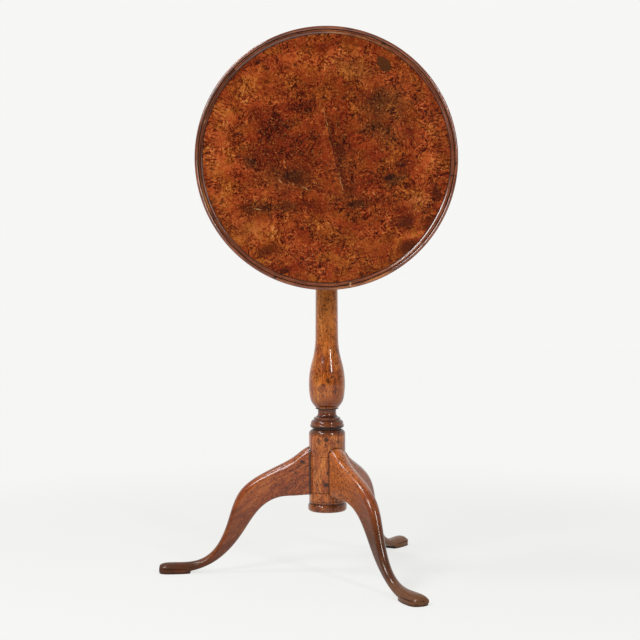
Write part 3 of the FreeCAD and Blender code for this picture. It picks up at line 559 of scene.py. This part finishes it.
legs = {
    "base": "#8c411b", "dark": "#682c13", "light": "#ab5f2b", "pip": "#2a1107", "dirtAndShade": "#120805",
    # root: the tone of painted light near the column, in the share that each leg's lift gives
    "root": "#b7632a", "calf": "#4b2812", "slope": 38.0,
    "joint": (39, 34.5),                       # painted shade where leg and column meet: none, full
    "figured": (200, 50), "paintedRootLight": (170, 70),           # distance from the column: none, full; the second is for painted light on the root
    "ankle": 75, "pad": (34, 16), "scuffed": (36, 14),   # height; none, full
    "streak": (0.012, 0.15, 0.10), "broad": (0.014, 0.05, 0.03), "fleck": (0.14, 0.42, 0.4),
    "pips": (0.16, 0.28, 0.22), "dash": (0.13, 0.5, 0.45),    # how close the figure is: along, across, deep
    "dots": (1.0, 0.56, 0.14, 0.44, 0.2),
    "relief": 0.00004, "coat": 0.70, "scuffLoss": 0.44,
    "polish": {"Specular IOR Level": 0.1, "Coat Roughness": 0.18, "Coat IOR": 1.50},
    "leg_left": {"azimuth": 180.0, "seed": 0.0, "lift": 0.0, "calf": 0.55, "from": 170, "foot": 0.9,
                 "tone": "#472611",
                 "knots": ((45, 206, 8, 4, 30, 1), (66, 173, 4, 3, 0, 0.8), (58, 186, 9, 2.5, 40, 0.6),
                           (140, 150, 3, 2, 0, 0.6))},
    "leg_front": {"azimuth": -60.0, "seed": 47.0, "lift": 1.0, "calf": 1.0, "from": 190, "foot": 0.8,
                  "tone": "#70472a",
                  "knots": ((124, 176, 4, 4, 0, 0.8), (90, 196, 4, 3, 20, 0.6), (66, 214, 5, 2.5, -60, 0.7))},
    "leg_back": {"azimuth": 60.0, "seed": 91.0, "lift": 0.4, "calf": 0.5, "from": 170, "foot": 0.9,
                 "tone": "#7a5233", "knots": ((110, 184, 5, 3, 20, 0.7),)},
}


def legWood(name):
    s = legs
    own = s[name]
    f, material = newFinish(name + "_wood")
    point = f.turned(f.scaled(f.place(), 1 / mm), turn=(0, 0, math.radians(-own["azimuth"])))
    out, side, up = f.split(point)
    plank = f.join(out, up, side + own["seed"] * 10)          # the leg laid flat, as it was sawn
    plank = f.turned(plank, turn=(0, 0, math.radians(s["slope"])))
    bent = f.sway(plank, 1 / 80, 26)
    streak = f.noise(f.turned(bent, scale=s["streak"]), 1.0, 4, 0.6)
    broad = f.noise(f.turned(bent, scale=s["broad"]), 1.0, 2)
    value = 0.5 + 0.9 * (streak - 0.5) + 0.5 * (broad - 0.5)
    colour = f.ramp(value, (0.28, s["dark"]), (0.50, s["base"]), (0.74, s["light"]))
    root = f.fade(out, *s["figured"])
    # painted light on the root of the leg
    colour = f.blend(colour, tone(s["root"]), f.fade(out, *s["paintedRootLight"]) * own["lift"])
    colour = f.blend(colour, tone(s["calf"]), f.fade(up, own["from"], s["ankle"]) * own["calf"])
    fleck = f.noise(f.turned(plank, scale=s["fleck"]), 1.0, 3, 0.7)
    colour = f.blend(colour, tone(s["light"]), f.fade(fleck, 0.53, 0.66) * (0.25 + 0.55 * root))
    colour = f.blend(colour, tone(s["dark"]), f.fade(fleck, 0.49, 0.38) * (0.35 + 0.60 * root))
    pips = f.dots(f.turned(f.sway(plank, 1 / 7, 4), scale=s["pips"]), *s["dots"]) * (0.2 + 0.8 * root)
    dash = f.noise(f.turned(f.sway(plank, 1 / 9, 5), scale=s["dash"]), 1.0, 2, 0.6)
    cluster = f.fade(f.noise(plank, 1 / 26, 2), 0.34, 0.54)
    dashes = f.fade(dash, 0.45, 0.37) * cluster * (0.25 + 0.75 * root)
    colour = f.blend(colour, tone(s["pip"]), (pips * 0.85) | (dashes * 0.8))
    knots = f.spots(f.sway(f.join(out, up, 0.0), 1 / 6, 5), own["knots"], 0.6)
    colour = f.blend(colour, tone(s["pip"]), knots * 0.85)
    worn = f.fade(f.noise(point, 1 / 14, 3), 0.3, 0.6)
    colour = f.blend(colour, tone(own["tone"]), f.fade(up, *s["pad"]) * (own["foot"] * (0.6 + 0.4 * worn)))
    # painted shade in corners and where leg and column meet
    joint = f.fade(f.length(f.join(out, side, 0.0)), *s["joint"])
    dirtAndShade = f.cavity(0.009) | joint
    colour = f.blend(colour, tone(s["dirtAndShade"]), dirtAndShade * 0.9)
    scuffed = f.fade(up, *s["scuffed"])
    rough = 0.22 + 0.12 * streak + 0.2 * scuffed
    height = 0.35 * streak - 0.4 * pips - knots
    coat = s["coat"] - s["scuffLoss"] * scuffed
    f.surface(colour, rough, height, s["relief"], {**s["polish"], "Coat Weight": coat})
    return material


# plain timber behind the top: dry boards, oxidised and hardly polished

plain = {
    "grimeAndShade": "#170c07", "relief": 0.0003, "nextBoard": 137,    # millimetres to the next board's figure
    "figure": (0.002, 0.03), "fibre": (0.012, 0.55), "pores": (0.10, 1.6),    # how close: along, across
    "board_wood": {"base": "#70402a", "dark": "#45240f", "light": "#8f5a36",
                   "along": (0, 0, 1), "ring": 34.0, "joints": (-86, 71)},
    "batten_wood": {"base": "#613820", "dark": "#391d0e", "light": "#7d4d2c",
                    "along": (0, 0, 1), "ring": 20.0, "joints": (0,)},
    "block_wood": {"base": "#673b22", "dark": "#3d1f11", "light": "#845330",
                   "along": (1, 0, 0), "ring": 24.0, "joints": ()},
}


def plainWood(name):
    s = plain[name]
    f, material = newFinish(name)

    def drawn(point, name):  # the point, drawn out along the grain
        long, wide = plain[name]
        return f.turned(point, scale=tuple(long if way else wide for way in s["along"]))

    point = f.scaled(f.place(), 1 / mm)
    across, _, _ = f.split(point)
    seams = 0.0
    for joint in s["joints"]:                  # each board has its own figure
        past = f.sums("GREATER_THAN", across, joint)
        point = f.vector("ADD", point, f.join(0.0, plain["nextBoard"] * past, 0.0))
        seams = seams + f.fade(abs(across - joint), 0.8, 0.3)
    figure = f.noise(drawn(f.sway(point, 1 / 140, 24), "figure"), 1.0, 1)
    rings = 0.5 + 0.5 * f.node("Math", {"operation": "SINE"}, {0: figure * s["ring"] * 3})
    fibre = f.noise(drawn(point, "fibre"), 1.0, 3, 0.65)
    pores = f.fade(f.noise(drawn(point, "pores"), 1.0, 1), 0.36, 0.26)
    value = 0.5 + 0.9 * (fibre - 0.5) + 0.20 * (rings - 0.5)
    colour = f.ramp(value, (0.25, s["dark"]), (0.5, s["base"]), (0.8, s["light"]))
    colour = f.blend(colour, tone(s["dark"]), pores * 0.6)
    stain = f.noise(point, 1 / 80, 4, 0.6)
    colour = f.blend(colour, tone(s["dark"]), f.fade(stain, 0.52, 0.70) * 0.6)
    colour = f.blend(colour, tone(plain["grimeAndShade"]), seams * 0.8)
    # painted shade in corners
    dirtAndShade = f.cavity(0.012)
    colour = f.blend(colour, tone(plain["grimeAndShade"]), dirtAndShade * 0.6)
    height = 0.5 * fibre + 0.2 * rings - 0.4 * pores - seams
    f.surface(colour, 0.5 + 0.2 * fibre, height, plain["relief"], {})
    return material


# metalwork: rubbed brass catch, dark iron pins, bright spring

metal = {
    "relief": 0.00008, "brushed": (0.2, 3.0, 3.0),
    "brass": {"bright": "#b58a43", "dull": "#6b4a22", "spotted": "#3b2a17", "rough": 0.30, "metallic": 1.0},
    "iron": {"bright": "#5a5550", "dull": "#3a322d", "spotted": "#4a2816", "rough": 0.45, "metallic": 0.9},
    "spring_steel": {"bright": "#8a8884", "dull": "#55524e", "spotted": "#4a3020", "rough": 0.32,
                     "metallic": 1.0},
}


def agedMetal(name):
    s = metal[name]
    f, material = newFinish(name)
    point = f.scaled(f.place(), 1 / mm)
    cloud = f.noise(point, 1 / 16, 4, 0.6)
    brushed = f.noise(f.turned(point, scale=metal["brushed"]), 1.0, 2)
    colour = f.ramp(cloud, (0.34, s["dull"]), (0.62, s["bright"]))
    rust = f.fade(f.noise(point, 1 / 2.5, 3, 0.7), 0.63, 0.74)
    dirtAndShade = f.cavity(0.003)
    colour = f.blend(colour, tone(s["spotted"]), (rust * 0.7) | (dirtAndShade * 0.8))
    rough = s["rough"] + 0.14 * brushed + 0.25 * rust
    height = 0.4 * brushed - 0.4 * rust
    f.surface(colour, rough, height, metal["relief"], {"Metallic": s["metallic"]})
    return material


dress(burrVeneer(), "top_veneer")
dress(rimWood(), *["rim_segment_%d" % (i + 1) for i in range(rim["lengths"])])
dress(columnWood(), "column")
for name in ("leg_left", "leg_front", "leg_back"):
    dress(legWood(name), name)
dress(plainWood("board_wood"), "top_board")
dress(plainWood("batten_wood"), "batten_left", "batten_right", "tenon_wedge")
dress(plainWood("block_wood"), "top_block")
brass = agedMetal("brass")
iron = agedMetal("iron")
steel = agedMetal("spring_steel")
dress(brass, "catch_plate", "catch_case", "catch_bolt", "catch_knob", "strike_plate")
dress(iron, "pivot_pin_left", "pivot_pin_right")
print("materials made:", len(bpy.data.materials))


# slotted screws: countersunk heads with a sawn slot, shank and point

screws = {
    "sides": 32, "sharp": 30, "sinkDepth": 0.15 * mm, "firstTurn": 37, "nextTurn": 71,
    "slotLong": 3, "slotWide": 0.26, "slotDeep": 0.30,             # shares of the head's radius
    "face": 0.93, "edge": 0.985, "edgeDrop": 0.07, "tip": 0.1,     # the same; the tip's of the shank
    "batten_screws": {"head": 5.0, "shank": 2.5, "long": 36.0, "body": "top", "slot": "iron"},
    "catch_screws": {"head": 3.2, "shank": 1.6, "long": 12.0, "body": "top", "slot": "brass"},
    "strike_screws": {"head": 3.2, "shank": 1.6, "long": 15.5, "body": "base", "slot": "brass"},
}


def screwMesh(own):  # head face up at zero, slot along x
    head, shank, long = own["head"] * mm, own["shank"] * mm, own["long"] * mm
    profile = [(head * screws["face"], 0), (head * screws["edge"], -screws["edgeDrop"] * head),
               (shank, shank - head), (shank, 2 * shank - long), (shank * screws["tip"], -long)]
    count = screws["sides"]
    turns = [2 * math.pi * i / count for i in range(count)]
    shape = bmesh.new()
    loops = []
    for radius, z in profile:
        loops.append([shape.verts.new((radius * math.cos(a), radius * math.sin(a), z)) for a in turns])
    for one, two in zip(loops, loops[1:]):
        for i in range(count):
            shape.faces.new((one[i - 1], two[i - 1], two[i], one[i]))
    shape.faces.new(loops[0])
    shape.faces.new(loops[-1][::-1])
    bmesh.ops.recalc_face_normals(shape, faces=shape.faces)
    return meshFrom(shape, "screw")


def slotCutter(own):
    head = own["head"] * mm
    size = (screws["slotLong"] * head, screws["slotWide"] * head, 2 * screws["slotDeep"] * head, 1)
    shape = bmesh.new()
    bmesh.ops.create_cube(shape, size=1.0, matrix=Matrix.Diagonal(size))
    return meshFrom(shape, "slot")


def slotted(own):
    bar = addObject("screw", screwMesh(own))
    cutter = addObject("slot", slotCutter(own))
    cut = bar.modifiers.new("slot", "BOOLEAN")
    cut.operation = "DIFFERENCE"
    cut.solver = "EXACT"
    cut.object = cutter
    bpy.context.view_layer.update()
    done = bpy.data.meshes.new_from_object(bar.evaluated_get(bpy.context.evaluated_depsgraph_get()))
    for thing in (bar, cutter):
        bpy.data.objects.remove(thing)
    return done


def screwRow(node, places, facing, material):  # one piece for all the screws of a kind
    own = screws[node]
    single = slotted(own)
    shape = bmesh.new()
    aim = facing.to_track_quat("Z", "Y").to_matrix().to_4x4()
    for i, place in enumerate(places):
        turn = screws["firstTurn"] + screws["nextTurn"] * i     # no two slots line up
        spin = Matrix.Rotation(math.radians(turn), 4, "Z")
        sunk = place - facing * screws["sinkDepth"]
        before = len(shape.verts)
        shape.from_mesh(single)
        shape.verts.ensure_lookup_table()
        bmesh.ops.transform(shape, matrix=Matrix.Translation(sunk) @ aim @ spin, verts=shape.verts[before:])
    mesh = meshFrom(shape, node + "_slotted")
    mesh.materials.append(material)
    mesh.set_sharp_from_angle(angle=math.radians(screws["sharp"]))
    piece = addObject(node + "_slotted", mesh)
    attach(piece, own["body"])
    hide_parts(node)


def gridPlaces(node, columns, rows):  # heads on the back of the node's box, in from its edges by the head
    low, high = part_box(node)
    head = screws[node]["head"] * mm
    xs = [low.x + head, high.x - head][:columns]
    zs = [low.z + head + (high.z - low.z - 2 * head) * i / max(rows - 1, 1) for i in range(rows)]
    return [Vector((x, high.y, z)) for x in xs for z in zs]


backward = Vector((0, 1, 0))
screwRow("batten_screws", gridPlaces("batten_screws", 2, 3), backward, iron)
screwRow("catch_screws", gridPlaces("catch_screws", 2, 2), backward, brass)
screwRow("strike_screws", gridPlaces("strike_screws", 2, 1), backward, brass)
print("screws made")


# V spring behind the bolt: a bent leaf, built at rest; on the catch it closes as the bolt goes back

spring = {"thick": 0.8 * mm, "eye": 1.5 * mm, "bow": 0.5 * mm, "inset": 0.16 * mm, "travel": 8 * mm,
          "steps": 14, "sharp": 40}


def leafSpring():
    s = spring
    low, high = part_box("catch_spring")
    middle = (low.z + high.z) / 2
    openEnd = high.x - s["inset"]
    eye = low.x + s["eye"] + s["thick"] / 2
    drop = (high.z - low.z - s["thick"]) / 2   # from the bend's middle to the end of an arm
    half = []                                  # one arm and half the bend, as x and distance from the middle
    for i in range(s["steps"] + 1):
        share = i / s["steps"]
        bow = s["bow"] * math.sin(math.pi * share)
        half.append((openEnd + (eye - openEnd) * share, drop + (s["eye"] - drop) * share + bow))
    bends = s["steps"] // 2
    for i in range(1, bends + 1):
        turn = math.pi / 2 * i / bends
        half.append((eye - s["eye"] * math.sin(turn), s["eye"] * math.cos(turn)))
    path = [Vector((x, 0, middle - z)) for x, z in half]
    path += [Vector((x, 0, middle + z)) for x, z in half[-2::-1]]
    shape = bmesh.new()
    loops = []
    for i, point in enumerate(path):
        way = (path[min(i + 1, len(path) - 1)] - path[max(i - 1, 0)]).normalized()
        out = Vector((way.z, 0, -way.x)) * (s["thick"] / 2)
        corners = [point + out, point + out, point - out, point - out]
        for corner, y in zip(corners, (low.y, high.y, high.y, low.y)):
            corner.y = y
        loops.append([shape.verts.new(corner) for corner in corners])
    for one, two in zip(loops, loops[1:]):
        for i in range(4):
            shape.faces.new((one[i - 1], one[i], two[i], two[i - 1]))
    shape.faces.new(loops[0][::-1])
    shape.faces.new(loops[-1])
    bmesh.ops.recalc_face_normals(shape, faces=shape.faces)
    for face in shape.faces:
        face.smooth = True
    mesh = meshFrom(shape, "catch_spring_leaf")
    mesh.materials.append(steel)
    mesh.set_sharp_from_angle(angle=math.radians(s["sharp"]))
    piece = addObject("catch_spring_leaf", mesh)
    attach(piece, "top")
    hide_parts("catch_spring")
    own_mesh(piece)


leafSpring()
print("spring made")


# floor, studio light and camera

studio = {
    "floor": "#f1f1ee", "floorReach": 8.3,
    "near": (0.885, 0.885, 0.868, 1.0), "glow": (0.92, 0.92, 0.905, 1.0),
    "fades": (0.4, 1.6),                       # metres from the middle: near, glow
    "hold": 0.80,                              # share of these two at the middle, where it is least
    "wall": (0.925, 0.925, 0.91, 1.0), "light": (1, 1, 0.99, 1),
    "dim": 0.03, "side": 0.26, "bright": 0.70,    # world light from the front, the sides and behind
    "sides": (-0.90, -0.45), "behind": (-0.1, 0.6),      # where the last two start and are full
    "key": {"azimuth": -39.0, "elevation": 33.0, "away": 2.6, "size": (0.85, 0.85), "power": 37.0},
    "fill": {"azimuth": 33.0, "elevation": 22.0, "away": 2.6, "size": (0.26, 0.9), "power": 24.0},
    "above": {"azimuth": -78.0, "elevation": 58.0, "away": 2.3, "size": (0.5, 0.5), "power": 18.0},
    "aim": (0.0, 0.0, 0.45),
}
lens = {"across": -0.01235, "away": 2.45, "height": 0.5304, "pitch": 0.0258, "roll": 0.0038, "focus": 1328.2,
        "frame": 640.0, "sensor": 36.0}


def makeFloor():
    reach = studio["floorReach"]
    shape = bmesh.new()
    corners = [shape.verts.new((x * reach, y * reach, 0)) for x, y in ((-1, -1), (1, -1), (1, 1), (-1, 1))]
    shape.faces.new(corners)
    mesh = meshFrom(shape, "floor")
    f, material = newFinish("floor_paint")
    rays = f.node("LightPath", {}, {}, "Is Camera Ray")
    seen = rays | rays.other("Is Glossy Ray") | rays.other("Is Transmission Ray")
    far = f.fade(f.length(f.place()), *studio["fades"])
    share = seen * (studio["hold"] + (1 - studio["hold"]) * far)    # the rest shows the shadow
    paint = f.node("BsdfDiffuse", {}, {"Color": tone(studio["floor"])})
    glow = f.node("Emission", {}, {"Color": f.blend(studio["near"], studio["glow"], far)})
    mixed = f.node("MixShader", {}, {0: share, 1: paint, 2: glow})
    f.node("OutputMaterial", {}, {"Surface": mixed})
    mesh.materials.append(material)
    floor = addObject("floor", mesh)


def makeWorld():
    world = bpy.data.worlds.new("studio")
    bpy.context.scene.world = world
    world.use_nodes = True
    f = Finish(world.node_tree)
    _, depth, _ = f.split(f.node("TexCoord", {}, {}, "Generated"))
    room = studio["dim"] + (studio["side"] - studio["dim"]) * f.fade(depth, *studio["sides"])
    behind = f.fade(depth, *studio["behind"])
    room = room + (studio["bright"] - studio["side"]) * behind
    rays = f.node("LightPath", {}, {}, "Is Camera Ray")
    seen = rays | (behind * (rays.other("Is Glossy Ray") | rays.other("Is Transmission Ray")))
    light = f.node("Background", {}, {"Color": studio["light"], "Strength": room})
    wall = f.node("Background", {}, {"Color": studio["wall"]})
    mixed = f.node("MixShader", {}, {0: seen, 1: light, 2: wall})
    f.node("OutputWorld", {}, {"Surface": mixed})


def makeLamp(name):
    s = studio[name]
    turn, rise = math.radians(s["azimuth"]), math.radians(s["elevation"])
    way = Vector((math.sin(turn) * math.cos(rise), -math.cos(turn) * math.cos(rise), math.sin(rise)))
    light = bpy.data.lights.new(name, "AREA")
    light.shape = "RECTANGLE"
    light.size, light.size_y = s["size"]
    light.energy = s["power"]
    lamp = addObject(name, light)
    lamp.location = Vector(studio["aim"]) + way * s["away"]
    lamp.rotation_euler = way.to_track_quat("Z", "Y").to_euler()


def makeCamera():
    data = bpy.data.cameras.new("camera")
    data.sensor_width = lens["sensor"]
    data.lens = lens["focus"] / lens["frame"] * lens["sensor"]
    camera = addObject("camera", data)
    place = Matrix.Translation((lens["across"], -lens["away"], lens["height"]))
    tilt = Matrix.Rotation(math.pi / 2 - lens["pitch"], 4, "X")
    camera.matrix_world = place @ tilt @ Matrix.Rotation(-lens["roll"], 4, "Z")
    bpy.context.scene.camera = camera


makeFloor()
makeWorld()
for name in ("key", "fill", "above"):
    makeLamp(name)
makeCamera()
bpy.context.scene.view_settings.view_transform = "Standard"
print("studio made")
